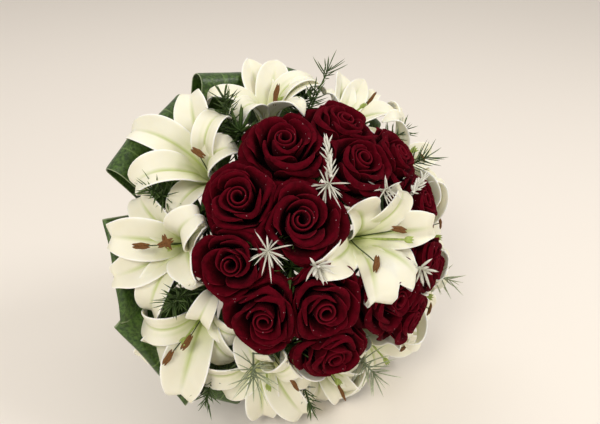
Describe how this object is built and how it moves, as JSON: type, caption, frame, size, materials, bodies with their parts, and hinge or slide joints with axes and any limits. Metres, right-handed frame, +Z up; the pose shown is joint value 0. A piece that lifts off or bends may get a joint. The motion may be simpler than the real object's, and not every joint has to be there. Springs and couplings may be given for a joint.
{
  "type": "flower bouquet",
  "caption": "Round artificial bridal bouquet of dark red velvet roses and ivory lilies with glossy leaves and needle sprigs, lying on its side on wrapped stems.",
  "frame": {"origin": "centre of the bouquet's footprint on the table, at table height", "axes": "+Z up from the table; +Y from the flower dome to the stem ends; +X across, to the right seen from the dome; the bouquet's own axis leans 27 degrees from +Y, with the dome raised"},
  "size_m": [0.3178, 0.3625, 0.2794],
  "materials": {
    "rose_velvet": "matte",
    "lily_foam": "matte",
    "leaf_green": "gloss",
    "sprig_green": "satin",
    "sprig_white": "matte",
    "ribbon_satin": "satin"
  },
  "bodies": {
    "root": {"leaf_01": "leaf_green", "leaf_02": "leaf_green", "leaf_03": "leaf_green", "leaf_04": "leaf_green", "leaf_05": "leaf_green", "leaf_06": "leaf_green", "leaf_07": "leaf_green", "leaf_08": "leaf_green", "leaf_09": "leaf_green", "leaf_10": "leaf_green", "leaf_11": "leaf_green", "lily_01": "lily_foam", "lily_02": "lily_foam", "lily_03": "lily_foam", "lily_04": "lily_foam", "lily_05": "lily_foam", "lily_06": "lily_foam", "lily_07": "lily_foam", "lily_08": "lily_foam", "lily_09": "lily_foam", "lily_10": "lily_foam", "lily_11": "lily_foam", "lily_crown": "lily_foam", "ribbon_wrap": "ribbon_satin", "rose_01": "rose_velvet", "rose_02": "rose_velvet", "rose_03": "rose_velvet", "rose_04": "rose_velvet", "rose_05": "rose_velvet", "rose_06": "rose_velvet", "rose_07": "rose_velvet", "rose_08": "rose_velvet", "rose_09": "rose_velvet", "rose_10": "rose_velvet", "rose_11": "rose_velvet", "rose_12": "rose_velvet", "rose_13": "rose_velvet", "rose_14": "rose_velvet", "sprig_green_01": "sprig_green", "sprig_green_02": "sprig_green", "sprig_green_03": "sprig_green", "sprig_green_04": "sprig_green", "sprig_green_05": "sprig_green", "sprig_green_06": "sprig_green", "sprig_green_07": "sprig_green", "sprig_green_08": "sprig_green", "sprig_green_09": "sprig_green", "sprig_green_10": "sprig_green", "sprig_green_11": "sprig_green", "sprig_green_12": "sprig_green", "sprig_white_13": "sprig_white", "sprig_white_14": "sprig_white", "sprig_white_15": "sprig_white", "sprig_white_16": "sprig_white", "sprig_white_17": "sprig_white"}
  },
  "joints": []
}
